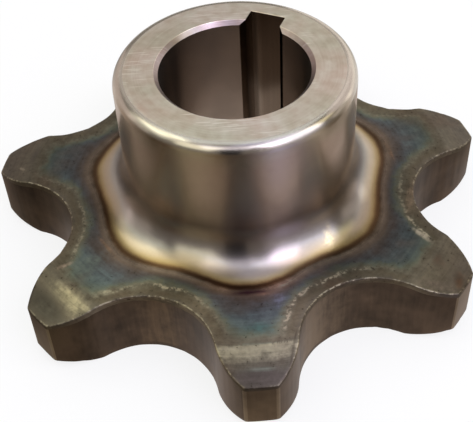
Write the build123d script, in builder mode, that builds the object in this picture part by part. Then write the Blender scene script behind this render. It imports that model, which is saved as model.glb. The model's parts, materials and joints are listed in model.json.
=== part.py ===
from build123d import *

import os
from math import acos, asin, atan2, cos, degrees, pi, sin

# Seven-tooth chain sprocket with a long hub on one side, turned and cut from one
# piece of steel. The axis of the bore is Z, the flat underside of the toothed plate
# is at Z = 0, the hub points up, and the keyway and one tooth point along +Y.

# Chain side
tooth_count = 7
chain_pitch = 42.0  # roller centre to roller centre
roller_diameter = 17.9  # chain roller that seats between two teeth
seat_clearance = 0.4  # room under a seated roller
seat_radius = 15.5  # root arc, wider than the roller so that dirt and slack clear
tip_height = 8.1  # tip circle above the pitch circle
land_width = 6.6  # flat left across each tip by the outside turning
flank_radius = 16.8  # rounded nose between the root arc and the tip land

# Toothed plate
plate_thickness = 16.3
bevel_width = 8.2  # tooth ends are turned thinner over this radial width
bevel_depth = 2.4  # taken off each face at the tips

# Hub
hub_diameter = 50.8
hub_length = 30.5  # from the plate's upper face to the hub's end face
rim_radius = 2.3  # rounded outer edge of the end face
root_fillet = 8.9  # sweep from the hub's wall into the plate

# Bore and keyway
bore_diameter = 31.75
mouth_chamfer = 0.9  # at the hub's end
back_chamfer = 0.5  # at the plate's underside
keyway_width = 7.94
keyway_floor = 19.8  # from the axis to the bottom of the keyway

# Derived sizes
overall_height = plate_thickness + hub_length
hub_radius = hub_diameter / 2
bore_radius = bore_diameter / 2
half_pitch_angle = pi / tooth_count
pitch_radius = chain_pitch / 2 / sin(half_pitch_angle)
tip_radius = pitch_radius + tip_height
root_radius = pitch_radius - roller_diameter / 2 - seat_clearance
bevel_start = tip_radius - bevel_width

# Tooth gap, drawn with its middle on +X. The seat arc is centred on +X. The flank arc
# passes through the corner of the tip land and touches the seat arc from outside, so
# its centre is one flank radius from the corner and both radii from the seat centre.
seat_centre = Vector(root_radius + seat_radius, 0)
corner_angle = half_pitch_angle - asin(land_width / 2 / tip_radius)
land_corner = Vector(tip_radius * cos(corner_angle), tip_radius * sin(corner_angle))
to_seat = seat_centre - land_corner
flank_turn = acos(
    (flank_radius**2 + to_seat.length**2 - (flank_radius + seat_radius) ** 2)
    / (2 * flank_radius * to_seat.length)
)
flank_direction = atan2(to_seat.Y, to_seat.X) - flank_turn
flank_centre = land_corner + Vector(cos(flank_direction), sin(flank_direction)) * flank_radius
to_flank = flank_centre - seat_centre
touch_angle = atan2(to_flank.Y, to_flank.X)
touch_point = seat_centre + to_flank.normalized() * seat_radius
flank_middle = flank_centre + (
    (touch_point - flank_centre) + (land_corner - flank_centre)
).normalized() * flank_radius
gap_reach = tip_radius + tip_height  # the cutting outline ends clear of the blank


def section_corner(radius, height):
    """The corner of the turned section at this radius and height."""
    return section.vertices().sort_by_distance((radius, height))[0]


with BuildPart() as sprocket:
    # Turned blank: hub, root fillet, plate and both bevels in one section
    with BuildSketch(Plane.XZ) as section:
        with BuildLine():
            Polyline(
                (bore_radius, 0),
                (bevel_start, 0),
                (tip_radius, bevel_depth),
                (tip_radius, plate_thickness - bevel_depth),
                (bevel_start, plate_thickness),
                (hub_radius, plate_thickness),
                (hub_radius, overall_height),
                (bore_radius, overall_height),
                close=True,
            )
        make_face()
        fillet(section_corner(hub_radius, plate_thickness), root_fillet)
        fillet(section_corner(hub_radius, overall_height), rim_radius)
        chamfer(section_corner(bore_radius, overall_height), mouth_chamfer)
        chamfer(section_corner(bore_radius, 0), back_chamfer)
    revolve(axis=Axis.Z)

    # Tooth gaps, cut straight through the plate and clear of the root fillet
    with BuildSketch() as gaps:
        with BuildSketch(mode=Mode.PRIVATE) as gap:
            with BuildLine():
                CenterArc(seat_centre, seat_radius, 180, degrees(touch_angle) - 180)
                ThreePointArc(touch_point, flank_middle, land_corner)
                Line(land_corner, land_corner * (gap_reach / tip_radius))
                CenterArc((0, 0), gap_reach, 0, degrees(corner_angle))
                mirror(about=Plane.XZ)
            make_face()
        with PolarLocations(0, tooth_count, start_angle=90 + degrees(half_pitch_angle)):
            add(gap.sketch)
    extrude(amount=plate_thickness + root_fillet, mode=Mode.SUBTRACT)

    # Keyway, square in section and broached through the whole bore
    with BuildSketch() as keyway:
        with Locations((0, keyway_floor / 2)):
            Rectangle(keyway_width, keyway_floor)
    extrude(amount=overall_height, mode=Mode.SUBTRACT)

sprocket.part.label = "sprocket"
os.makedirs("parts", exist_ok=True)
export_step(sprocket.part, "parts/sprocket.step")
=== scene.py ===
import json
import random
from functools import partial
from math import acos, asin, atan2, cos, pi, radians, sin, tan

import bpy
import numpy as np
from mathutils import Matrix, Vector, noise


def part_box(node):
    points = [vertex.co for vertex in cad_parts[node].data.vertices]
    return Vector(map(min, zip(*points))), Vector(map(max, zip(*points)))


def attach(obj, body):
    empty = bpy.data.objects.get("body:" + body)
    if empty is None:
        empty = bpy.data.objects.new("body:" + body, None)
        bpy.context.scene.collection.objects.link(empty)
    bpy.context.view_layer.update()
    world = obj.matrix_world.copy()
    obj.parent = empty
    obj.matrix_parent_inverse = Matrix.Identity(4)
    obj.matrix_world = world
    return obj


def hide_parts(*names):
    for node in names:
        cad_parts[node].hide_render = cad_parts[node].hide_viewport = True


# A seven-tooth chain sprocket, turned from one piece of steel, its teeth hardened by flame.
# The mesh is made ring by ring round the bore: each ring is one step along the turned
# section, and each column is one step round the teeth. Lengths are in mm until the end.

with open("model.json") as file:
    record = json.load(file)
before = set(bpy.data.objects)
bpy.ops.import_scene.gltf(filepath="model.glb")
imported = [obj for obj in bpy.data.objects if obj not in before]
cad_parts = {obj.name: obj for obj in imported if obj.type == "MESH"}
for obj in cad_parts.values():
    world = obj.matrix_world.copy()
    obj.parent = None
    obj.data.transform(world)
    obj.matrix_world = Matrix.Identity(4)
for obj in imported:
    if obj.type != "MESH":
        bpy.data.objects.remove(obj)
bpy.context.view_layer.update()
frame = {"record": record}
scene = bpy.context.scene
mm, perMetre = 0.001, 1000
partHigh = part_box("sprocket")[1]
boreMount = next(mount for mount in frame["record"]["mounts"] if mount["name"] == "bore")
print("frame loaded")


def hexColour(code):
    # The linear colour of an sRGB hex code
    channels = [int(code[i:i + 2], 16) / 255 for i in (1, 3, 5)]
    linear = [c / 12.92 if c <= 0.04045 else ((c + 0.055) / 1.055) ** 2.4 for c in channels]
    return (*linear, 1)


form = {  # mm
    "boreRadius": boreMount["dims"]["r_mm"],
    "height": partHigh.z / mm,
    "tipRadius": partHigh.y / mm - 0.002,  # a tooth's middle lies on +Y, a hair inside the box
    "toothCount": 7,
    "rootRadius": 39.05,  # bottom of each gap
    "seatRadius": 15.5,  # root arc
    "flankRadius": 16.8,  # nose arc, from the root arc to the tip land
    "landWidth": 6.6,
    "plateThickness": 16.3,
    "bevelWidth": 8.2,
    "bevelDepth": 2.4,
    "hubRadius": 25.4,
    "rimRadius": 2.3,
    "rootFillet": 8.9,
    "mouthChamfer": 0.9,
    "backChamfer": 0.5,
    "keywayWidth": 7.94,
    "keywayFloor": 19.8,  # from the axis
}
bevelStart = form["tipRadius"] - form["bevelWidth"]
toothAngle = 2 * pi / form["toothCount"]

steps = {  # columns round half a gap, then rings along the section
    "seat": 27, "flank": 21, "corner": 3, "land": 5,
    "back": 10, "edge": 3, "flankRings": 14, "plate": 32, "fillet": 20,
    "hub": 8, "rim": 8, "end": 8, "bore": 9,
}

wear = {  # mm
    "seed": 7,
    "cornerBreak": 0.45,  # between tip land and flank
    # along the top and bottom edges of the teeth
    "edgeBreak": 0.2, "edgeSpread": 0.12, "edgeWave": 4, "edgeLimits": (0.06, 0.7),
    "nickCount": 60, "nickDepth": 0.3, "nickLength": 0.9,
    "keywayBreak": 0.12,
    "mouthBreak": (1.0, 1.2),  # filed off the keyway's corners in the bore, across and deep
    "flankRipple": 0.04,  # upright marks left by the cutter, fine ones and slow waves
    "rippleLengths": (1.1, 7),
    "landRipple": 0.1,  # share of it on the turned tip lands
    "sharpAngle": 35,  # degrees, edges that turn more than this stay crisp
}


def spinBy(turn):
    # Turns rows of x and y anticlockwise when they are multiplied by it
    return np.array([[cos(turn), sin(turn)], [-sin(turn), cos(turn)]])


def toothOutline():
    # Half a gap, from its middle on +X to the middle of a tooth: root arc, nose arc, tip land.
    # Returns the whole outline, anticlockwise from +Y: points, outward normals, and which of
    # them lie on a tip land or on its corner.
    seat = np.array([form["rootRadius"] + form["seatRadius"], 0])
    cornerAngle = toothAngle / 2 - asin(form["landWidth"] / 2 / form["tipRadius"])
    corner = form["tipRadius"] * np.array([cos(cornerAngle), sin(cornerAngle)])
    toSeat = seat - corner
    reach = np.hypot(*toSeat)
    near, far = form["flankRadius"], form["flankRadius"] + form["seatRadius"]
    turn = acos((near**2 + reach**2 - far**2) / (2 * near * reach))
    heading = atan2(toSeat[1], toSeat[0]) - turn
    nose = corner + near * np.array([cos(heading), sin(heading)])
    touch = atan2(*(nose - seat)[::-1])
    cornerFromNose = atan2(*(corner - nose)[::-1])

    def arc(centre, radius, start, end, count, first=0):
        a = np.linspace(start, end, count + 1)[first:]
        outward = np.stack([np.cos(a), np.sin(a)], 1)
        return centre + radius * outward, outward

    cut = wear["cornerBreak"]
    seatPoints, seatNormals = arc(seat, form["seatRadius"], pi, touch, steps["seat"])
    flankPoints, flankNormals = arc(
        nose, near, touch - pi, cornerFromNose - cut / near, steps["flank"], 1
    )
    landPoints, landNormals = arc(
        np.zeros(2), form["tipRadius"], cornerAngle + cut / form["tipRadius"],
        toothAngle / 2, steps["land"],
    )
    t = np.linspace(0, 1, steps["corner"] + 1)[1:-1, None]
    cornerPoints = (
        flankPoints[-1] * (1 - t) ** 2 + 2 * corner * t * (1 - t) + landPoints[0] * t**2
    )
    cornerNormals = flankNormals[-1] * (1 - t) + landNormals[0] * t
    points = np.concatenate([seatPoints, flankPoints, cornerPoints, landPoints])
    normals = np.concatenate([-seatNormals, flankNormals, cornerNormals, landNormals])
    normals /= np.linalg.norm(normals, axis=1, keepdims=True)
    fromEnd = len(points) - np.arange(len(points))
    onLand = fromEnd <= len(landPoints)
    onCorner = fromEnd <= len(landPoints) + len(cornerPoints) + 1
    flip = np.array([1, -1])
    points, normals = (
        np.concatenate([half[:0:-1] * flip, half[:-1]]) for half in (points, normals))
    onLand, onCorner = (
        np.tile(np.concatenate([half[:0:-1], half[:-1]]), form["toothCount"])
        for half in (onLand, onCorner))
    spins = [spinBy(pi / 2 + toothAngle * (gap + 0.5)) for gap in range(form["toothCount"])]
    return (
        np.concatenate([points @ spin for spin in spins]),
        np.concatenate([normals @ spin for spin in spins]), onLand, onCorner,
    )


outline, outlineNormal, onLand, onCorner = toothOutline()
columns = len(outline)
outlineAngle = np.arctan2(outline[:, 1], outline[:, 0])
outlineRun = np.concatenate([[0], np.cumsum(np.hypot(*np.diff(outline, axis=0).T))])


def boreOutline():
    # The bore with its keyway on +Y. The nearest columns move onto the keyway's corners.
    halfKey = form["keywayWidth"] / 2
    across, deep = wear["mouthBreak"]
    mouthAngle = asin((halfKey + across) / form["boreRadius"])
    wallStart = form["boreRadius"] * cos(mouthAngle) + deep
    wallAngle = atan2(halfKey, wallStart)
    floorAngle = atan2(halfKey, form["keywayFloor"])
    off = (outlineAngle - pi / 2 + pi) % (2 * pi) - pi
    for angle in (floorAngle, wallAngle, mouthAngle):
        for side in (-1, 1):
            off[np.abs(off - side * angle).argmin()] = side * angle
    size = np.abs(off)
    radius = np.full(columns, float(form["boreRadius"]))
    inSlot = size <= mouthAngle
    onWall = size <= wallAngle
    onFloor = size <= floorAngle
    slope = deep / across  # the filed corner is a straight cut
    radius[inSlot] = (wallStart + slope * halfKey) / (
        np.cos(size[inSlot]) + slope * np.sin(size[inSlot]))
    radius[onWall] = halfKey / np.sin(np.maximum(size[onWall], floorAngle))
    radius[onFloor] = form["keywayFloor"] / np.cos(size[onFloor])
    return off + pi / 2, radius, inSlot


boreAngle, boreReach, inKeyway = boreOutline()
print("outlines ready:", columns, "columns")


def alongOutline(size, seed):
    # Smooth random values in about -1..1 round the outline, with bumps about size mm long
    shift = Vector((seed * 31.7, seed * 5.3, 0))
    values = [noise.noise(Vector((x, y, 0)) / size + shift) for x, y in outline]
    return np.array(values) * 1.6  # the noise itself stays within about 0.6


def edgeBreaks(seed):
    # How far the edge is rounded at each column: a light break with nicks in it
    dice = random.Random(wear["seed"] + seed)
    size = wear["edgeBreak"] + wear["edgeSpread"] * alongOutline(wear["edgeWave"], seed)
    total = outlineRun[-1]
    for _ in range(wear["nickCount"]):
        gap = np.abs(outlineRun - dice.uniform(0, total))
        width = wear["nickLength"] * dice.uniform(0.4, 1)
        size = size + wear["nickDepth"] * dice.random() ** 2 * np.exp(-(gap / width) ** 2)
    return np.clip(size, *wear["edgeLimits"])


def ringAt(radius, angle, z):
    # One ring of points; each value may be the same all round or differ by column
    radius = np.broadcast_to(radius, columns)
    return np.stack([
        radius * np.cos(angle), radius * np.sin(angle), np.broadcast_to(z, columns)
    ], 1)


def onFace(spot, below, onTop):
    # A ring on one face of the plate, which falls away past the start of its bevel
    past = np.maximum(0, np.hypot(*spot.T) - bevelStart)
    drop = past / form["bevelWidth"] * form["bevelDepth"] + below
    return np.column_stack([spot, form["plateThickness"] - drop if onTop else drop])


def faceRings(start, end, count, onTop):
    # Rings across one face of the plate; the nearest ring follows the bevel's edge exactly
    start, end = start[:, :2], end[:, :2]
    t = np.tile(np.linspace(0, 1, count + 1)[:, None], (1, columns))
    low, high = np.zeros(columns), np.ones(columns)
    startRadius, endRadius = np.hypot(*start.T), np.hypot(*end.T)
    crosses = (startRadius - bevelStart) * (endRadius - bevelStart) < 0
    for _ in range(40):  # halves the span each time
        middle = (low + high) / 2
        radius = np.hypot(*(start + (end - start) * middle[:, None]).T)
        sameSide = (radius - bevelStart) * (startRadius - bevelStart) > 0
        low = np.where(sameSide, middle, low)
        high = np.where(sameSide, high, middle)
    nearest = np.abs(t[1:-1] - low).argmin(0) + 1
    t[nearest[crosses], np.nonzero(crosses)[0]] = low[crosses]
    return [onFace(start + (end - start) * row[:, None], 0, onTop) for row in t]


def edgeRings(size, onTop):
    # A quarter round of each column's own size, from the flank onto the face
    rings = []
    for step in range(steps["edge"] + 1):
        a = pi / 2 * step / steps["edge"]
        inward = size * (1 - cos(a))
        spot = outline - outlineNormal * inward[:, None]
        rings.append(onFace(spot, size * (1 - sin(a)), onTop))
    return rings


def flankRings(lower, upper):
    # Upright cutter marks and slow waves across the flanks, few on the turned tip lands
    fine, slow = (alongOutline(size, 3 + k) for k, size in enumerate(wear["rippleLengths"]))
    rings = []
    for step in range(1, steps["flankRings"]):
        t = step / steps["flankRings"]
        ring = lower + (upper - lower) * t
        fade = sin(pi * t) ** 0.5 * np.where(onLand, wear["landRipple"], 1)
        push = wear["flankRipple"] * fade * (fine + slow * cos(3 * t))
        ring[:, :2] += outlineNormal * push[:, None]
        rings.append(ring)
    return rings


def arcRings(centreRadius, centreZ, radius, start, end, count):
    # Rings along an arc of the section, from start to end in degrees, without the first
    return [
        ringAt(centreRadius + radius * cos(a), outlineAngle, centreZ + radius * sin(a))
        for a in np.radians(np.linspace(start, end, count + 1))[1:]
    ]


def sprocketRings():
    # All rings in order with their zones: underside, flanks, top face, hub, bore, and closed
    coneEnd, backEnd = (
        np.maximum(form["boreRadius"] + form[bevel], boreReach + wear["keywayBreak"])
        for bevel in ("mouthChamfer", "backChamfer"))
    filletEnd = form["hubRadius"] + form["rootFillet"]
    hubBottom = form["plateThickness"] + form["rootFillet"]
    rings, zones = [], []

    def lay(zone, newRings):
        rings.extend(newRings)
        zones.extend([zone] * len(newRings))

    topEdge, bottomEdge = edgeRings(edgeBreaks(1), True), edgeRings(edgeBreaks(2), False)
    backStart = ringAt(backEnd, boreAngle, 0)
    lay("bore", [ringAt(boreReach, boreAngle, backEnd - boreReach)])
    lay("back", faceRings(backStart, bottomEdge[-1], steps["back"], False))
    lay("edge", bottomEdge[::-1][1:])
    lay("flank", flankRings(bottomEdge[0], topEdge[0]))
    lay("edge", topEdge)
    end = ringAt(filletEnd, outlineAngle, 0)
    lay("plate", faceRings(topEdge[-1], end, steps["plate"], True)[1:])
    lay("fillet", arcRings(filletEnd, hubBottom, form["rootFillet"], 270, 180, steps["fillet"]))
    hubTop = form["height"] - form["rimRadius"]
    lay("hub", [
        ringAt(form["hubRadius"], outlineAngle, z)
        for z in np.linspace(hubBottom, hubTop, steps["hub"] + 1)[1:]
    ])
    rimCentre = form["hubRadius"] - form["rimRadius"]
    lay("rim", arcRings(rimCentre, hubTop, form["rimRadius"], 0, 90, steps["rim"]))
    outer, inner = rings[-1], ringAt(coneEnd, boreAngle, form["height"])
    lay("end", [outer + (inner - outer) * t for t in np.linspace(0, 1, steps["end"] + 1)[1:]])
    wallTop = form["height"] - (coneEnd - boreReach)
    for t in np.linspace(0, 1, steps["bore"] + 1)[:-1]:
        z = wallTop + (backEnd - boreReach - wallTop) * t
        lay("bore" if t else "end", [ringAt(boreReach, boreAngle, z)])
    return np.array(rings), zones


rings, zones = sprocketRings()
print("rings ready:", len(rings))


temper = {  # mm
    "lineRadius": 32.5,  # dark line round the root fillet
    "lineWave": 1.05,  # further out towards each tooth, further in towards each gap
    "gapSqueeze": 0.6,  # the colours after the line crowd together towards a gap
    "scaleWidth": 3.2,  # plain scale along the tooth edges
    "tipScale": 46.3,  # radius where a tooth's tip turns to plain scale
    "scaleBlend": 2.5,  # rounds the corner where the two meet
}


# Patches round the part: middle and half width in degrees, how much there is, and for some
# the radius they lie at and their half width along it in mm. Teeth A to E are the ones on
# the camera's side, from left to right.
uneven = {
    "toneAndReflection": {  # how much paler or darker the plate is than on average: partly uneven temper colour, partly painted reflection and shade
        "toothA": (-167, 16, -0.3, 47, 8.5), "gapAB": (-142, 10, -0.14, 37, 5),
        "toothB": (-114, 14, 0.42, 38, 6.5), "gapBC": (-91, 10, -0.34, 36, 5),
        "gapBCLeft": (-101, 6, 0.25, 36, 4), "gapBCRight": (-79, 6, 0.55, 38.5, 3),
        "toothC": (-65, 13, 0.45, 44, 5), "lineC": (-62, 16, 0.25, 33.3, 1.2),
        "gapCD": (-36, 13, -0.52, 36.5, 6), "toothD": (-14, 10, -0.2, 38, 5),
        "toothDRight": (-4, 6, -0.2, 44, 7), "gapDE": (12, 14, -0.36, 36, 6),
        "toothE": (42, 12, 0.28, 37, 4), "tipE": (38, 13, -0.22, 48, 6),
        "gapEF": (57, 8, 0.22, 35, 4),
    },
    "specks": {
        "toothB": (-128, 8, 0.6), "gapBC": (-92, 17, 0.8), "toothC": (-56, 7, 0.95),
        "gapCD": (-38, 13, 0.6), "toothD": (-5, 6, 1.0), "gapDE": (12, 12, 0.3),
        "gapAB": (-142, 7, 0.35), "toothA": (-163, 10, 0.25), "toothE": (46, 12, 0.25),
    },
    "lineDepth": {"toothC": (-68, 15, 1.0), "toothD": (-26, 10, 0.7), "gapBC": (-84, 9, 0.6)},
}


def polar(points):
    # Distance from the axis and angle round it
    x, y = points[..., 0], points[..., 1]
    return np.hypot(x, y), np.arctan2(y, x)


def patchesRound(name, points):
    # The sum of the patches of one kind at each point
    radius, turn = polar(points)
    total = np.zeros(len(points))
    for middle, half, amount, *reach in uneven[name].values():
        away = ((np.degrees(turn) - middle + 180) % 360 - 180) / half
        share = amount * np.exp(-(away**2))
        if reach:
            share *= np.exp(-(((radius - reach[0]) / reach[1]) ** 2))
        total += share
    return total


def gapWave(angle):
    # 1 on a tooth's middle, -1 on a gap's
    return np.cos(form["toothCount"] * (angle - pi / 2))


def lineRadius(angle):
    return temper["lineRadius"] + temper["lineWave"] * gapWave(angle)


def pathFromLine():
    # Distance from the dark line along the turned section, negative towards the hub
    path = np.concatenate([
        np.zeros((1, columns)), np.cumsum(np.linalg.norm(np.diff(rings, axis=0), axis=2), 0)
    ])
    radius = polar(rings)[0]
    crossing = [k for k, zone in enumerate(zones) if zone in ("plate", "fillet")]
    target = lineRadius(outlineAngle)
    linePath = np.array([
        np.interp(-target[c], -radius[crossing, c], path[crossing, c]) for c in range(columns)
    ])
    away = linePath - path
    squeeze = 1 + temper["gapSqueeze"] * (1 - gapWave(outlineAngle)) / 2
    return np.where(away > 0, away * squeeze, away)


def scaleDistance(points, fromEdge):
    # Distance to the plain scale at the tooth edges and tips, below 0 on the scale itself
    side = fromEdge - temper["scaleWidth"]
    tip = temper["tipScale"] - polar(points)[0]
    reach = temper["scaleBlend"]
    blend = np.clip(0.5 + (tip - side) / (2 * reach), 0, 1)
    return tip + (side - tip) * blend - reach * blend * (1 - blend)


marks = {
    # patches rubbed bright, stained or tinted, and a few of painted highlight and shade: middle x
    # and y, direction in degrees, half length, half width, strength, colour
    # partly rubbed bright, partly painted reflection off the slope at the start of tooth B's bevel
    "rubAndSheenLeft": (-19.3, -45, -24, 5.4, 2.2, 0.8, "#a09579"),
    "rubAndSheenLeftLow": (-16.6, -46.6, 60, 2.6, 1.5, 0.6, "#a09579"),
    "tipShadeLeft": (-24, -47.9, -25, 7.5, 3.2, 0.95, "#4d483f"),
    "noseRubLeft": (-24.5, -38.1, 50, 2.2, 0.7, 0.6, "#a38e7c"),
    "arcRubLeft": (-12.9, -41.7, 24, 2.8, 0.7, 0.5, "#a39a82"),
    "streakLeft": (-17.8, -30.6, -31, 5, 0.5, 0.55, "#8a6a52"),
    "tealLeft": (-20, -36.5, 60, 6, 3, 0.5, "#646a61"),
    # partly rubbed bright, partly painted reflection off the slope at the start of tooth C's bevel
    "tipRubAndSheenFront": (20.6, -43.9, 25.7, 12, 2.6, 1, "#a1967c"),
    # painted highlight: a thin bright line along the start of tooth C's bevel
    "tipHighlightFront": (17.4, -45.4, 25.7, 4.6, 0.22, 0.8, "#b1a592"),
    "tipShadeFront": (23.7, -49.2, 25.7, 6.5, 2.2, 1, "#5d534c"),
    "tipStreakFront": (23.3, -47.6, 25.7, 3.6, 0.4, 0.75, "#7d8172"),
    # painted shade: a dark line along tooth C's right top edge
    "edgeShadeFront": (27.6, -41.6, -80, 5, 0.3, 0.75, "#43372f"),
    "maroonFront": (14.9, -31.6, 25, 4.2, 0.75, 0.95, "#392529"),
    "tanFront": (17.4, -31.3, 32, 3.4, 0.45, 0.6, "#7d6557"),
    "greenFront": (20.9, -27, 54, 3.2, 0.45, 0.5, "#757a6b"),
    "lilacFront": (21.2, -31.8, -60, 3, 1.6, 0.5, "#676a78"),
    "tealFront": (19.9, -39.4, 25, 3.6, 1.5, 0.65, "#557069"),
    "noseRubRight": (43.4, -4.5, -28, 2.9, 0.7, 0.75, "#a79d8a"),
    "tipMottleRight": (47.6, -9.3, -60, 3.4, 1.9, 0.6, "#5a473c"),
    "tipPaleRight": (49.6, -16, 20, 4.6, 1.5, 0.7, "#6f6459"),
    "tipRustRight": (53.4, -12.8, -76, 2.6, 1.2, 0.7, "#5b4535"),
    "arcRubRight": (38.2, 5.3, 98, 6, 1.1, 0.6, "#85735f"),
    "streakFar": (29.2, 19.6, 124, 5, 0.7, 0.5, "#80634c"),
    "tipShadeFar": (46.6, 22.4, 24, 7, 3.6, 0.7, "#5f544e"),
    "tipRubBack": (-48.9, -14.4, 160, 1.8, 0.4, 0.5, "#8f8572"),
    "tipShadeBack": (-47.8, -9.8, 100, 3.2, 1.3, 0.6, "#4e4740"),
    # painted highlight: a warm bright patch on the fillet
    "filletHighlight": (25.4, -13.2, -60, 2.6, 1.5, 0.5, "#dcc9a2"),
}


flankMarks = {  # the same for the sides of the teeth
    "gapBC": (-2.7, -38.9, 0, 4.5, 3, 0.55, "#6b5b48"),
    "gapCDLeft": (27.5, -30.5, 45, 6, 4, 0.75, "#7b6d5b"),
    "gapCDMiddle": (31.5, -24.5, 45, 3, 3, 0.5, "#6a5c4c"),
    "tipBLeft": (-29.5, -44.5, 60, 3, 3, 0.5, "#4a4038"),
}


def markCover(points, patches):
    # How far the marks cover each point, and their colour there
    cover, colour = np.zeros(len(points)), np.zeros((len(points), 3))
    total = np.full(len(points), 1e-6)  # never quite 0, as colours are divided by it
    onBevel = np.clip((polar(points)[0] - bevelStart + 0.3) / 0.4, 0, 1)
    for name, (x, y, direction, long, wide, strength, code) in patches.items():
        a = radians(direction)
        offset = points[:, :2] - (x, y)
        along = offset @ (cos(a), sin(a))
        across = offset @ (-sin(a), cos(a))
        share = strength * np.exp(-((along / long) ** 2 + (across / wide) ** 2))
        if name.startswith("tip"):
            share *= onBevel  # a tip's marks stop where its bevel starts
        cover = np.maximum(cover, share)
        colour += share[:, None] ** 2 * np.array(hexColour(code)[:3])
        total += share**2
    return cover, colour / total[:, None]


def edgeDistance(points):
    # Distance in plan to the outline, with every point folded into one gap
    radius, angle = polar(points)
    angle = (angle - pi / 2) % toothAngle - toothAngle / 2
    folded = np.stack([radius * np.cos(angle), radius * np.sin(angle)], 1)
    perGap = columns // form["toothCount"]
    edge = outline[: perGap + 1] @ spinBy(-(pi / 2 + toothAngle / 2))
    distance = np.full(len(points), 1e9)
    for spot in edge:
        distance = np.minimum(distance, np.hypot(*(folded - spot).T))
    return distance


materialOrder = ("turned", "faced", "bored", "cut", "land", "broached", "corner")
zoneMaterial = {"end": "faced", "bore": "bored", "flank": "cut"}  # the others are turned


def buildSprocket():
    # The rings joined into quads, with the distances and marks that the materials read
    count = len(rings)
    flat = rings.reshape(-1, 3)
    here = np.arange(count * columns).reshape(count, columns)
    up = np.roll(here, -1, 0)
    corners = (here, np.roll(here, -1, 1), np.roll(up, -1, 1), up)
    quads = np.stack([corner.ravel() for corner in corners], 1)
    mesh = bpy.data.meshes.new("sprocketBody")
    mesh.from_pydata((flat * mm).tolist(), [], quads.tolist())
    slotOf = {name: index for index, name in enumerate(materialOrder)}
    # a face lies between its ring and the next, and takes the next ring's zone
    ringSlot = [slotOf[zoneMaterial.get(zone, "turned")] for zone in zones]
    faceSlot = np.repeat(np.roll(ringSlot, -1), columns)
    for old, isHere, new in (
        ("cut", onLand, "land"), ("bored", inKeyway, "broached"), ("cut", onCorner, "corner"),
    ):
        bothSides = np.tile(isHere & np.roll(isHere, -1), count)
        faceSlot[(faceSlot == slotOf[old]) & bothSides] = slotOf[new]
    mesh.polygons.foreach_set("material_index", faceSlot.astype(np.int32))
    mesh.polygons.foreach_set("use_smooth", np.ones(len(quads), bool))
    fromEdge = edgeDistance(flat)
    toScale = scaleDistance(flat, fromEdge)
    cover, markColour = markCover(flat, marks)
    ring = np.array(zones)
    onFlank = np.repeat(ring == "flank", columns)
    isLow = rings[:, :, 2].max(1) < form["plateThickness"] / 2
    plain = np.repeat(np.isin(ring, ["back", "flank"]) | isLow, columns)
    toScale[plain], fromEdge[plain], cover[plain] = -1.5, 9, 0  # scale, with no marks on it
    cover[onFlank], markColour[onFlank] = markCover(flat[onFlank], flankMarks)
    for name, values in {
        "tint": pathFromLine().ravel(), "toScale": toScale, "fromEdge": fromEdge,
        "markShare": cover, **{name: patchesRound(name, flat) for name in uneven},
    }.items():
        layer = mesh.attributes.new(name, "FLOAT", "POINT")
        layer.data.foreach_set("value", values.astype(np.float32))
    layer = mesh.attributes.new("markColour", "FLOAT_COLOR", "POINT")
    rgba = np.column_stack([markColour, np.ones(len(flat))])
    layer.data.foreach_set("color", rgba.astype(np.float32).ravel())
    mesh.update()
    mesh.validate()
    mesh.set_sharp_from_angle(angle=radians(wear["sharpAngle"]))
    body = bpy.data.objects.new("sprocketBody", mesh)
    scene.collection.objects.link(body)
    weighted = body.modifiers.new("evenShading", "WEIGHTED_NORMAL")
    weighted.keep_sharp = True
    weighted.weight = 100
    return body


sprocket = buildSprocket()
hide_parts("sprocket")
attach(sprocket, "root")
print("mesh ready:", len(sprocket.data.polygons), "faces")


def addNode(tree, kind, inputs=(), operation=None, stops=None, **settings):
    # One node. Inputs are by socket, or a list in the sockets' own order; each is a node, a
    # socket, a hex colour or a plain value. Stops are a ramp's colours by place.
    node = tree.nodes.new("ShaderNode" + kind)
    if operation:
        node.operation = operation
    for name, value in settings.items():
        setattr(node, name, value)
    pairs = inputs.items() if isinstance(inputs, dict) else enumerate(inputs)
    for socket, value in pairs:
        if isinstance(value, bpy.types.Node):
            tree.links.new(value.outputs[0], node.inputs[socket])
        elif isinstance(value, bpy.types.NodeSocket):
            tree.links.new(value, node.inputs[socket])
        elif isinstance(value, str):
            node.inputs[socket].default_value = hexColour(value)
        else:
            node.inputs[socket].default_value = value
    if stops:
        ramp = node.color_ramp
        ramp.elements.remove(ramp.elements[1])
        for index, (place, code) in enumerate(sorted(stops.items())):
            element = ramp.elements.new(place) if index else ramp.elements[0]
            element.position = place
            element.color = hexColour(code)
    return node


def newMaterial(name):
    # An empty material, and a function that adds a node to it
    material = bpy.data.materials.new(name)
    material.use_nodes = True
    material.node_tree.nodes.clear()
    return material, partial(addNode, material.node_tree)


def rampOf(add, value, stops):
    # Colours along a value in its own units
    low, high = min(stops), max(stops)
    place = add("MapRange", {"Value": value, "From Min": low, "From Max": high})
    places = {(at - low) / (high - low): code for at, code in stops.items()}
    return add("ValToRGB", {"Fac": place}, stops=places)


# A name that ends in From holds the noise values between which that look sets in
smooth = {"interpolation_type": "SMOOTHSTEP"}  # for a map range that eases in and out
acrossMarks = 0.25  # the quarter turn that lays a highlight along the section
grainTones = (0.3, 0.7)  # how dark and how light the mottling of the bare steel is


def fromAxis(add, spot):
    # Distance from the axis in mm
    flat = add("VectorMath", [spot, (perMetre, perMetre, 0)], "MULTIPLY")
    return add("VectorMath", [flat], "LENGTH").outputs["Value"]


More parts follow.
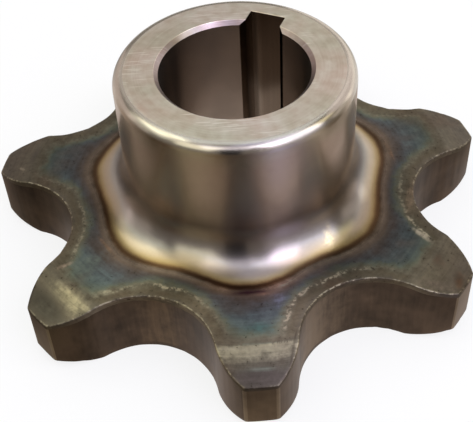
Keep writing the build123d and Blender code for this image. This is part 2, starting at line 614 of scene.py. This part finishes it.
def turningLines(add, spot, pitch, length):
    # Marks round the axis, pitch mm apart along the turned section and length mm long
    z = add("SeparateXYZ", [spot]).outputs["Z"]
    along = add("Math", [z, perMetre], "MULTIPLY")
    along = add("Math", [along, fromAxis(add, spot)], "SUBTRACT")
    across = add("Math", [along, pitch], "DIVIDE")
    turned = add("VectorMath", [spot, [perMetre / length] * 3], "MULTIPLY")
    parts = add("SeparateXYZ", [turned])
    place = add("CombineXYZ", {"X": across, "Y": parts.outputs["X"], "Z": parts.outputs["Y"]})
    return add("TexNoise", {"Vector": place, "Scale": 1, "Detail": 2, "Roughness": 0.6})


def finishMetal(add, spot, colour, rough, drawnOut, more):
    # Bare steel whose highlight is drawn out across or along the marks round the axis
    around = add("VectorMath", [spot, (0, 0, 1)], "CROSS_PRODUCT")
    shader = add("BsdfPrincipled", {
        "Base Color": colour, "Metallic": 1, "Roughness": rough, "Tangent": around,
        "Anisotropic": drawnOut, "Anisotropic Rotation": acrossMarks, **more})
    add("OutputMaterial", {"Surface": shader})


tinted = {
    "along": {  # mm from the dark line: up the fillet and hub below 0, out to the teeth above
        -31: "#c4baad", -28.5: "#c4b5aa", -14: "#c0b0a4", -11: "#a7998f", -8: "#a3988f",
        -6.2: "#a69d98", -4.6: "#aaa39b", -3.4: "#ab9f8e", -2.45: "#a89882", -1.95: "#a59478",
        -1.55: "#9e8a69", -1.2: "#937f5c", -0.9: "#846e4c", -0.62: "#6d573a", -0.35: "#56412b",
        -0.05: "#4a3524", 0.25: "#4b3826", 0.55: "#514133", 1.05: "#605245", 1.7: "#695b4f",
        2.4: "#615449", 3.2: "#574e48", 4.5: "#4f4c4b", 6.1: "#4f5253", 8: "#515859",
        10: "#555d5b", 12.5: "#5a6159", 15: "#62645a"},
    "scale": {  # mm from the scale's start: the scale up to a tooth's edge below 0
        -3.2: "#6a6154", -2.6: "#675e4f", -1.6: "#645b4b", -0.8: "#655e4f", -0.1: "#6c6758",
        0.7: "#686959", 1.8: "#61675c"},
    "bevel": {  # mm out from the start of the bevel
        0: "#706859", 1.5: "#6e6657", 3.5: "#6a6153", 6: "#635b50", 8: "#645b4f"},
    "noises": ((9, 2, 0.5), (1.9, 3, 0.6), (0.8, 2, 0.6)),  # mm, detail, roughness
    # mm, how far the slow and the fine noise push the line, the scale's start and the specks
    "lineWander": (1.1, 0.3), "scaleWander": (4, 3), "speckWander": (3.5, 1.5),
    "tintWander": 3.4, "bevelWander": 3,  # mm, by the fine noise alone
    "streakPitch": 0.8, "streakLength": 13,  # mm, turning marks, drawn coarse enough to show
    "markDepth": 0.02, "markStrength": 0.12,  # mm, and share of it
    "streakShare": 0.8,  # of the turning marks, in the tint's wander
    # mm past the line, the scale's start or the bevel's, where each one sets in
    "outsideFade": (-0.1, 0.5), "farFade": (0.5, 6), "roughFade": (0, 5),
    "scaleFade": (0, 2.4), "bevelFade": (-2.4, 0.3), "speckFade": (-4.5, -1),
    "roughClean": 0.24, "roughScale": 0.42, "roughWander": 0.12,
    "darkLine": "#271810", "darkLineShare": 0.8,
    "darkLineAt": 0.15, "darkLineFade": (0.1, 1.1),  # mm past the line, and to its sides
    "rust": "#5f4b3d", "rustShare": 0.4, "pit": "#2b211a", "pitShare": 0.6,
    "rustFrom": (0.48, 0.72), "pitFrom": (0.34, 0.26), "grainFrom": (0.7, 1.35),
    "speckFrom": (0.84, 1.08), "crestFrom": (0.86, 1.04), "markFrom": (0.5, 1.4),
    "grainClean": 0.08, "grainScale": 0.56,  # share of light and dark mottling
    "grainLines": 0.6, "grainGrit": 0.45, "grainTones": (0.25, 0.75),  # what it is made of
    "bright": "#a89e87", "speckFromEdge": 3.0, "speckWidth": (0.1, 0.6),  # mm
    "crestWidth": 0.45, "crestShare": 0.6,
    "markEdge": 0.9, "markFoot": (0.02, 0.4), "markGrain": 0.6,  # how grain breaks up marks
    "drawnOut": 0.8,  # how far turning marks draw the highlight out
}


def turnedSteel():
    # One turned surface, bright on the hub and run through the temper colours to dull scale
    material, add = newMaterial("turnedFlameTintedSteel")
    spot = add("TexCoord").outputs["Object"]
    value = {
        name: add("Attribute", attribute_name=name).outputs["Fac"]
        for name in ("tint", "toScale", "fromEdge", "markShare", *uneven)
    }
    radius = fromAxis(add, spot)
    slow, fine, grit = (
        add("TexNoise", {
            "Vector": spot, "Scale": perMetre / size, "Detail": detail, "Roughness": rough})
        for size, detail, rough in tinted["noises"])
    lines = turningLines(add, spot, tinted["streakPitch"], tinted["streakLength"])
    sway = add("Math", [slow, 0.5], "SUBTRACT")
    ruffle = add("Math", [fine, 0.5], "SUBTRACT")
    streak = add("Math", [lines, 0.5], "SUBTRACT")

    def wandering(distance, slowly, finely):
        # The distance, swayed by the slow noise and ruffled by the fine one
        distance = add("Math", [sway, slowly, distance], "MULTIPLY_ADD")
        return add("Math", [ruffle, finely, distance], "MULTIPLY_ADD")

    # the dark line is sharp, and the colours beyond it wander more the further they lie
    line = wandering(value["tint"], *tinted["lineWander"])
    isOutside = add("MapRange", [line, *tinted["outsideFade"]], **smooth)
    far = add("MapRange", [line, *tinted["farFade"]], **smooth)
    wander = add("Math", [streak, tinted["streakShare"], ruffle], "MULTIPLY_ADD")
    wander = add("Math", [wander, tinted["tintWander"]], "MULTIPLY")
    wander = add("Math", [wander, far, line], "MULTIPLY_ADD")
    colour = rampOf(add, wander, tinted["along"])
    offLine = add("Math", [line, tinted["darkLineAt"]], "SUBTRACT")
    offLine = add("Math", [offLine], "ABSOLUTE")
    darkest = add(
        "MapRange", [offLine, *tinted["darkLineFade"], tinted["darkLineShare"], 0], **smooth)
    darkest = add("Math", [darkest, value["lineDepth"]], "MULTIPLY", use_clamp=True)
    colour = add("MixRGB", [darkest, colour, tinted["darkLine"]])
    scaleAt = wandering(value["toScale"], *tinted["scaleWander"])
    scale = rampOf(add, scaleAt, tinted["scale"])
    onScale = add("MapRange", [scaleAt, *tinted["scaleFade"], 1, 0], **smooth)
    colour = add("MixRGB", [onScale, colour, scale])
    pastBevel = add("Math", [radius, bevelStart], "SUBTRACT")
    bevelAt = add("Math", [ruffle, tinted["bevelWander"], pastBevel], "MULTIPLY_ADD")
    bevel = rampOf(add, bevelAt, tinted["bevel"])
    onBevel = add("MapRange", [pastBevel, *tinted["bevelFade"]], **smooth)
    colour = add("MixRGB", [onBevel, colour, bevel])
    # paler and darker patches beyond the dark line: partly uneven temper colour, partly painted
    # reflection and shade
    toneAndReflection = add("Math", [value["toneAndReflection"], isOutside, 1], "MULTIPLY_ADD")
    colour = add("HueSaturation", {"Value": toneAndReflection, "Color": colour})

    # rust brown clouds, and light and dark mottling along the turning marks
    rusty = add("MapRange", [slow, *tinted["rustFrom"], 0, tinted["rustShare"]], **smooth)
    rusty = add("Math", [rusty, far], "MULTIPLY")
    colour = add("MixRGB", [rusty, colour, tinted["rust"]])
    grain = add("Math", [lines, tinted["grainLines"], fine], "MULTIPLY_ADD")
    grain = add("Math", [grit, tinted["grainGrit"], grain], "MULTIPLY_ADD")
    grain = add("MapRange", [grain, *tinted["grainFrom"], *tinted["grainTones"]])
    grainShare = add("MapRange", [isOutside, 0, 1, tinted["grainClean"], tinted["grainScale"]])
    colour = add("MixRGB", [grainShare, colour, grain], blend_type="OVERLAY")

    # specks of bright metal where the scale broke away, along the gaps
    offset = add("Math", [value["fromEdge"], tinted["speckFromEdge"]], "SUBTRACT")
    offset = wandering(offset, *tinted["speckWander"])
    offset = add("Math", [offset], "ABSOLUTE")
    inner = add("MapRange", [offset, *tinted["speckWidth"], 1, 0], **smooth)
    flatPart = add("MapRange", [pastBevel, *tinted["speckFade"], 1, 0], **smooth)
    inner = add("Math", [inner, flatPart], "MULTIPLY")
    onLine = add("Math", [inner, value["specks"]], "MULTIPLY")
    speckNoise = add("Math", [fine, 0.8, grit], "MULTIPLY_ADD")
    patchy = add("MapRange", [speckNoise, *tinted["speckFrom"]], **smooth)
    onLine = add("Math", [onLine, patchy], "MULTIPLY", use_clamp=True)
    # the crest of the edge is painted bright in more places: partly knocked bright, partly a
    # painted highlight along the edge
    crest = add("MapRange", [
        value["fromEdge"], tinted["crestWidth"] / 2, tinted["crestWidth"],
        tinted["crestShare"], 0], **smooth)
    patchy = add("MapRange", [speckNoise, *tinted["crestFrom"]], **smooth)
    crest = add("Math", [crest, patchy], "MULTIPLY")
    speckShare = add("Math", [onLine, crest], "MAXIMUM")
    colour = add("MixRGB", [speckShare, colour, tinted["bright"]])
    # the rubs, stains, painted highlights and painted shade, their edges broken by the grain, and
    # pits over all of it
    share = value["markShare"]
    edged = add("Math", [grain, tinted["markEdge"], share], "MULTIPLY_ADD")
    marked = add("MapRange", [edged, *tinted["markFrom"]], **smooth)
    anyMark = add("MapRange", [share, *tinted["markFoot"]], **smooth)
    marked = add("Math", [marked, anyMark], "MULTIPLY")
    markColour = add("Attribute", attribute_name="markColour").outputs["Color"]
    markColour = add("MixRGB", [tinted["markGrain"], markColour, grain], blend_type="OVERLAY")
    colour = add("MixRGB", [marked, colour, markColour])
    pits = add("MapRange", [grit, *tinted["pitFrom"], 0, tinted["pitShare"]], **smooth)
    pits = add("Math", [pits, far], "MULTIPLY")
    colour = add("MixRGB", [pits, colour, tinted["pit"]])

    rough = add("MapRange", [
        line, *tinted["roughFade"], tinted["roughClean"], tinted["roughScale"]], **smooth)
    rough = add("Math", [sway, tinted["roughWander"], rough], "MULTIPLY_ADD")
    relief = add("Math", [fine, isOutside, lines], "MULTIPLY_ADD")
    bump = add("Bump", {
        "Height": relief, "Strength": tinted["markStrength"],
        "Distance": tinted["markDepth"] * mm})
    finishMetal(add, spot, colour, rough, tinted["drawnOut"], {"Normal": bump})
    return material


faced = {
    "colour": "#d2c5b5", "greenish": "#cac3af", "pinkish": "#d9c5b8", "cone": "#c8c2cb",
    "noises": ((9.09, 3), (2.38, 3), (13.33, 1)),  # mm, detail
    "ownShare": 0.35, "grainShare": 0.5,  # of the plain colour, and of the mottling
    "hueFrom": (0.35, 0.65), "grainFrom": (0.48, 0.97),
    "rough": (0.27, 0.41), "drawnOut": 0.6,
    "pitch": 0.4, "length": 30, "markDepth": 0.01,  # mm, facing marks
    "markStrength": 0.1, "markShare": 0.45,  # in the relief, and in the mottling
    "scratch": "#efe6da", "scratchDirection": 24,
    "scratchWidth": 0.3, "scratchLength": 4.5, "scratchShare": 0.7,
    "scratchFrom": (0.62, 0.71), "patchFrom": (0.5, 0.62),
    "coneFade": (0.02, 0.12),  # mm below the face
}


def facedSteel():
    # The hub's end, faced in a lathe and scratched by handling
    material, add = newMaterial("facedSteel")
    spot = add("TexCoord").outputs["Object"]
    lines = turningLines(add, spot, faced["pitch"], faced["length"])
    cloud, shade, where = (
        add("TexNoise", {"Vector": spot, "Scale": perMetre / size, "Detail": detail})
        for size, detail in faced["noises"])
    hue = add("MapRange", [cloud, *faced["hueFrom"]])
    colour = add("MixRGB", [hue, faced["greenish"], faced["pinkish"]])
    colour = add("MixRGB", [faced["ownShare"], colour, faced["colour"]])
    both = add("Math", [lines, faced["markShare"], shade], "MULTIPLY_ADD")
    grain = add("MapRange", [both, *faced["grainFrom"], *grainTones])
    colour = add("MixRGB", [faced["grainShare"], colour, grain], blend_type="OVERLAY")
    # short scratches, nearly all one way, gathered in a few places
    laid = add("Mapping", {
        "Vector": spot, "Rotation": (0, 0, radians(-faced["scratchDirection"]))})
    laid = add("VectorMath", [
        laid, (perMetre / faced["scratchLength"], perMetre / faced["scratchWidth"], 1)], "MULTIPLY")
    bent = add("VectorMath", [cloud, laid], "ADD")
    scratches = add("TexNoise", {"Vector": bent, "Scale": 1, "Detail": 0})
    scratches = add("MapRange", [scratches, *faced["scratchFrom"]], **smooth)
    where = add("MapRange", [where, *faced["patchFrom"], 0, faced["scratchShare"]], **smooth)
    scratches = add("Math", [scratches, where], "MULTIPLY")
    colour = add("MixRGB", [scratches, colour, faced["scratch"]])
    # the cone round the bore's mouth is cut coarser and darker than the face
    z = add("SeparateXYZ", [spot]).outputs["Z"]
    onCone = add("MapRange", [z, *((form["height"] - drop) * mm for drop in faced["coneFade"])])
    cone = add("MixRGB", [onCone, "#ffffff", faced["cone"]])
    colour = add("MixRGB", [1, colour, cone], blend_type="MULTIPLY")
    rough = add("MapRange", [cloud, 0, 1, *faced["rough"]])
    bump = add("Bump", {
        "Height": lines, "Strength": faced["markStrength"], "Distance": faced["markDepth"] * mm})
    finishMetal(add, spot, colour, rough, faced["drawnOut"], {"Normal": bump})
    return material


bored = {
    "colour": "#9b9086", "cloudSize": 6.25, "grainShare": 0.4, "grainFrom": (0.33, 0.83),
    "pitch": 0.9, "length": 30, "markShare": 0.16,  # mm, boring marks
    "roughness": 0.26, "drawnOut": 0.7,
}


def boredSteel():
    # Bored steel, still oily: round its fine marks the highlight runs upright
    material, add = newMaterial("boredSteel")
    spot = add("TexCoord").outputs["Object"]
    lines = turningLines(add, spot, bored["pitch"], bored["length"])
    cloud = add("TexNoise", {"Vector": spot, "Scale": perMetre / bored["cloudSize"], "Detail": 3})
    both = add("Math", [lines, bored["markShare"], cloud], "MULTIPLY_ADD")
    grain = add("MapRange", [both, *bored["grainFrom"], *grainTones])
    colour = add("MixRGB", [bored["grainShare"], bored["colour"], grain], blend_type="OVERLAY")
    finishMetal(add, spot, colour, bored["roughness"], bored["drawnOut"], {})
    return material


broached = {
    # mm from side to side: the filed corners, walls darkened by painted shade, and a floor
    # whose painted reflection is brightest along one corner
    "across": {-4.2: "#6a5f53", -4.02: "#5f554a", -3.95: "#453c34", -3.9: "#fff0e0",
               -3.1: "#cdc1b3", -2.3: "#92877b", -1.5: "#766b60", 3.9: "#6d6257",
               3.95: "#453c34", 4.02: "#5f554a", 4.2: "#6a5f53"},
    "atGrazing": "#b9b9b9",  # the walls stay dark even seen from the side
    "pitch": 0.5, "length": 25, "markShare": 0.08,  # mm, drag marks
    "markFrom": (0.3, 0.7), "markTones": (0.2, 0.8),
    "roughness": 0.19, "drawnOut": 0.75,
}


def broachedSteel():
    # The keyway, broached from end to end: upright drag marks spread its highlight sideways
    material, add = newMaterial("broachedSteel")
    spot = add("TexCoord").outputs["Object"]
    inside = add("VectorMath", {"Vector": spot, "Scale": perMetre}, "SCALE")
    across = add("SeparateXYZ", [inside]).outputs["X"]
    # painted shade on the keyway's walls and a painted highlight along its floor's corner
    colour = rampOf(add, across, broached["across"])
    drag = add("VectorMath", [
        inside, (1 / broached["pitch"], 1 / broached["pitch"], 1 / broached["length"])], "MULTIPLY")
    drag = add("TexNoise", {"Vector": drag, "Scale": 1, "Detail": 2})
    drag = add("MapRange", [drag, *broached["markFrom"], *broached["markTones"]])
    colour = add("MixRGB", [broached["markShare"], colour, drag], blend_type="OVERLAY")
    finishMetal(add, spot, colour, broached["roughness"], broached["drawnOut"], {
        "Specular Tint": broached["atGrazing"], "Anisotropic Rotation": 0})
    return material


cut = {
    # dark and light colour, roughness
    "flank": ("#352c23", "#635446", 0.44), "land": ("#53463a", "#80715f", 0.42),
    # the rounded corners between tip land and flank: partly rubbed, partly a painted highlight
    # along the corner
    "corner": ("#5c5044", "#988b79", 0.38),
    "cloudSize": 9, "blotchSize": 2.4, "markSize": 0.9, "blotchDepth": 0.06,  # mm
    "cloudShare": 1.6, "blotchShare": 0.6, "markShare": 0.5, "blotchStrength": 0.25,
    "squash": 0.12,  # draws the marks out upright
    "lift": 0.2, "toneFrom": (1.15, 2.1),  # added to the noises, and where they lighten
    "patchEdge": 0.6, "patchFrom": (0.65, 1.4),  # how noise breaks up the marked patches
    "tipPaler": 0.35,  # a flank's step towards the lighter colour at a tooth's tip
    "tipFade": (47, 57),  # mm from the axis, where that step begins and ends
    "oilShare": 0.14, "oilRoughness": 0.3,
}


def cutSteel(name, dark, light, roughness):
    # Flame-cut sides of the teeth under a thin brown scale, blotched, with faint upright
    # marks, and an oily film that pales them where they turn away
    material, add = newMaterial(name)
    spot = add("TexCoord").outputs["Object"]
    upright = add("VectorMath", [spot, (1, 1, cut["squash"])], "MULTIPLY")
    upright = add("TexNoise", {
        "Vector": upright, "Scale": perMetre / cut["markSize"], "Detail": 2})
    cloud = add("TexNoise", {"Vector": spot, "Scale": perMetre / cut["cloudSize"], "Detail": 2})
    blotch = add("TexNoise", {
        "Vector": spot, "Scale": perMetre / cut["blotchSize"], "Detail": 4, "Roughness": 0.6})
    soft = add("Math", [blotch, cut["blotchShare"], cut["lift"]], "MULTIPLY_ADD")
    both = add("Math", [cloud, cut["cloudShare"], soft], "MULTIPLY_ADD")
    both = add("Math", [upright, cut["markShare"], both], "MULTIPLY_ADD")
    paler = add("MapRange", [fromAxis(add, spot), *cut["tipFade"], 0, cut["tipPaler"]], **smooth)
    both = add("Math", [both, paler], "ADD")
    place = add("MapRange", [both, *cut["toneFrom"]])
    colour = add("MixRGB", [place, dark, light])
    share = add("Attribute", attribute_name="markShare").outputs["Fac"]
    edged = add("Math", [upright, blotch], "ADD")
    edged = add("Math", [edged, cut["patchEdge"], share], "MULTIPLY_ADD")
    marked = add("MapRange", [edged, *cut["patchFrom"]], **smooth)
    markColour = add("Attribute", attribute_name="markColour").outputs["Color"]
    colour = add("MixRGB", [marked, colour, markColour])
    bump = add("Bump", {
        "Height": blotch, "Strength": cut["blotchStrength"], "Distance": cut["blotchDepth"] * mm})
    shader = add("BsdfPrincipled", {
        "Base Color": colour, "Metallic": 1, "Roughness": roughness, "Normal": bump,
        "Coat Weight": cut["oilShare"], "Coat Roughness": cut["oilRoughness"]})
    add("OutputMaterial", {"Surface": shader})
    return material


for material in (  # in the order of materialOrder
    turnedSteel(), facedSteel(), boredSteel(),
    cutSteel("flameCutSteel", *cut["flank"]), cutSteel("tipLandSteel", *cut["land"]),
    broachedSteel(), cutSteel("rubbedAndGlintCornerSteel", *cut["corner"]),
):
    sprocket.data.materials.append(material)
print("materials ready")


view = {
    "aim": (5.1, -14.4, 20.0), "distance": 211.64,  # mm
    "heading": 114.135, "tilt": 45.36, "roll": -3.236,  # degrees
    "lens": 75.33, "sensor": 36, "nearest": 10,  # mm
}

studio = {
    "floorSize": 8,  # m
    "floorWhite": 0.92,
    "floorGlow": 0.8,  # share of plain white in the camera's view of the floor
    "allGlow": (350, 900),  # mm out, where the floor turns plain white
    # what the metal mirrors of the floor: near the part by distance in mm from the brightest
    # place, and further out by direction in degrees from the camera's side
    "floorMiddle": (7.3, 3.3, 0),
    "floorNear": {0: "#dccfc7", 52: "#dccfc7", 60: "#a89a8a", 70: "#a4978a"},
    "floorFar": {
        -180: "#ffffff", -165: "#e8e6e4", -150: "#a3a19f", -130: "#eee6e1", -108: "#b4a395",
        -90: "#85776a", -72: "#4f4332", -58: "#5b4838", -45: "#958b73", -30: "#9a8e74",
        -17: "#77654d", -8: "#54483f", 3: "#524840", 15: "#82777a", 30: "#c3bedb",
        45: "#a39aab", 57: "#aea49a", 66: "#c0b4a5", 78: "#7b6e5e", 90: "#73695a",
        105: "#ddd2c8", 120: "#ffffff", 135: "#ffffff", 150: "#c3c1b4", 165: "#f0f0ee",
        180: "#ffffff"},
    "farStart": (64, 74),  # mm, where one gives way to the other
    "world": "#7d7872",
    "panels": {
        # azimuth from the camera's side and elevation in degrees, width and height in degrees
        # as seen from the part, radiance, colour
        "overhead": (180, 70, 46, 34, 0.9, "#ecfaff"),
        "overheadRight": (70, 76, 30, 30, 0.75, "#c6ceff"),
        "overheadLeft": (-72, 72, 26, 18, 0.4, "#f0f4ff"),
        "leftHigh": (-106, 57, 30, 24, 1.85, "#feffe9"),
        "rightKey": (53, 46, 48, 44, 2.3, "#e4e8ff"),
        "rightFoot": (46, 12, 58, 18, 0.33, "#f0efff"),
        "rightCore": (36, 46, 18, 22, 2.8, "#efdcff"),
        "leftKey": (-41, 42, 30, 36, 1.3, "#ffffea"),
        "frontHigh": (-12, 56, 34, 28, 1.2, "#e8e8ff"),
        "leftSide": (-92, 42, 40, 26, 0.8, "#f9fff2"),
        "leftLow": (-93, 15, 26, 22, 0.37, "#fff8ef"),
        "rightSide": (87, 47, 24, 24, 0.85, "#fff7b8"),
        "rightLow": (103, 15, 30, 22, 0.45, "#fff8ee"),
        "backRight": (140, 13, 60, 22, 1.08, "#fffcfb"),
        "backRightHigh": (130, 38, 44, 26, 0.64, "#fff7fb"),
        "backLeft": (-128, 16, 56, 30, 0.5, "#fff0ed"),
        "backdrop": (180, 42, 56, 26, 0.46, "#ffffff"),
    },
    "darkCard": (-7, 20, 17, 48),  # azimuth, elevation, width and height, as for the panels
    "middle": (0, 0, 0.02), "panelAway": 1, "cardAway": 0.6,  # m, what they face and how far off
}


def floorMaterial():
    # Matt white card: plain white round its shadow, and dimmer where the metal mirrors it
    material, add = newMaterial("whiteFloor")
    rays = add("LightPath")
    isCamera, isGlossy = rays.outputs["Is Camera Ray"], rays.outputs["Is Glossy Ray"]
    spot = add("TexCoord").outputs["Object"]
    middle = Vector(studio["floorMiddle"]) * mm
    fromMiddle = add("VectorMath", [spot, middle], "SUBTRACT")
    distance = add("VectorMath", [fromMiddle], "LENGTH").outputs["Value"]
    distance = add("Math", [distance, perMetre], "MULTIPLY")
    share = add("MapRange", [distance, *studio["allGlow"], studio["floorGlow"], 1])
    share = add("Math", [isCamera, share, isGlossy], "MULTIPLY_ADD", use_clamp=True)
    near = rampOf(add, distance, studio["floorNear"])
    turned = add("VectorRotate", {
        "Vector": spot, "Angle": -radians(view["heading"] + 180)}, rotation_type="Z_AXIS")
    parts = add("SeparateXYZ", [turned])
    direction = add("Math", [parts.outputs["Y"], parts.outputs["X"]], "ARCTAN2")
    direction = add("Math", [direction], "DEGREES")
    far = rampOf(add, direction, studio["floorFar"])
    isFar = add("MapRange", [distance, *studio["farStart"]])
    mirrored = add("MixRGB", [isFar, near, far])
    colour = add("MixRGB", [isGlossy, "#ffffff", mirrored])
    white = studio["floorWhite"]
    lit = add("BsdfDiffuse", {"Color": (white, white, white, 1)})
    glow = add("Emission", {"Color": colour})
    mix = add("MixShader", {"Fac": share, 1: lit, 2: glow})
    add("OutputMaterial", {"Surface": mix})
    return material


bpy.ops.mesh.primitive_plane_add(size=studio["floorSize"])
floor = bpy.context.object
floor.name = "studioFloor"
floor.data.materials.append(floorMaterial())

world = bpy.data.worlds.new("studio")
scene.world = world
world.use_nodes = True
world.node_tree.nodes.clear()
add = partial(addNode, world.node_tree)
rays = add("LightPath")
sky = add("MixRGB", [rays.outputs["Is Camera Ray"], studio["world"], "#ffffff"])
background = add("Background", {"Color": sky})
add("OutputWorld", {"Surface": background})


def facePart(thing, azimuth, elevation, away):
    # Puts a lamp or a card away metres from the part, turned to face it
    a, e = radians(view["heading"] + 180 + azimuth), radians(elevation)
    target = Vector(studio["middle"])
    thing.location = target + away * Vector((cos(a) * cos(e), sin(a) * cos(e), sin(e)))
    thing.rotation_euler = (target - thing.location).to_track_quat("-Z", "Y").to_euler()
    thing.visible_camera = False


def addPanel(name, azimuth, elevation, wide, high, radiance, code):
    # A flat soft light that faces the part
    lamp = bpy.data.lights.new(name, "AREA")
    lamp.shape = "RECTANGLE"
    lamp.size, lamp.size_y = (2 * tan(radians(size) / 2) for size in (wide, high))
    lamp.energy = radiance * pi * lamp.size * lamp.size_y
    lamp.color = hexColour(code)[:3]
    panel = bpy.data.objects.new(name, lamp)
    facePart(panel, azimuth, elevation, studio["panelAway"])
    scene.collection.objects.link(panel)


def addDarkCard(azimuth, elevation, wide, high):
    # A black card that only the metal sees: the dark column down the front of the hub
    away = studio["cardAway"]
    bpy.ops.mesh.primitive_plane_add(size=1)
    card = bpy.context.object
    card.name = "darkCard"
    card.scale = [2 * away * tan(radians(size) / 2) for size in (wide, high)] + [1]
    facePart(card, azimuth, elevation, away)
    card.visible_shadow = False
    card.visible_diffuse = False
    material, add = newMaterial("blackCard")
    black = add("BsdfDiffuse", {"Color": "#0b0a09"})
    add("OutputMaterial", {"Surface": black})
    card.data.materials.append(material)


for name, settings in studio["panels"].items():
    addPanel(name, *settings)
addDarkCard(*studio["darkCard"])
print("studio ready")


def addCamera():
    # Placed by where it looks, from how far off, and how it is turned
    lens = bpy.data.cameras.new("camera")
    lens.lens = view["lens"]
    lens.sensor_width = view["sensor"]
    lens.sensor_fit = "HORIZONTAL"
    lens.clip_start = view["nearest"] * mm
    heading, tilt, roll = (radians(view[k]) for k in ("heading", "tilt", "roll"))
    forward = Vector((cos(heading) * cos(tilt), sin(heading) * cos(tilt), -sin(tilt)))
    right = forward.cross(Vector((0, 0, 1))).normalized()
    up = right.cross(forward)
    right, up = right * cos(roll) + up * sin(roll), up * cos(roll) - right * sin(roll)
    camera = bpy.data.objects.new("camera", lens)
    camera.matrix_world = Matrix.Translation(
        (Vector(view["aim"]) - forward * view["distance"]) * mm
    ) @ Matrix((right, up, -forward)).transposed().to_4x4()
    scene.collection.objects.link(camera)
    bpy.context.scene.camera = camera


addCamera()
scene.view_settings.view_transform = "Standard"
print("camera ready")
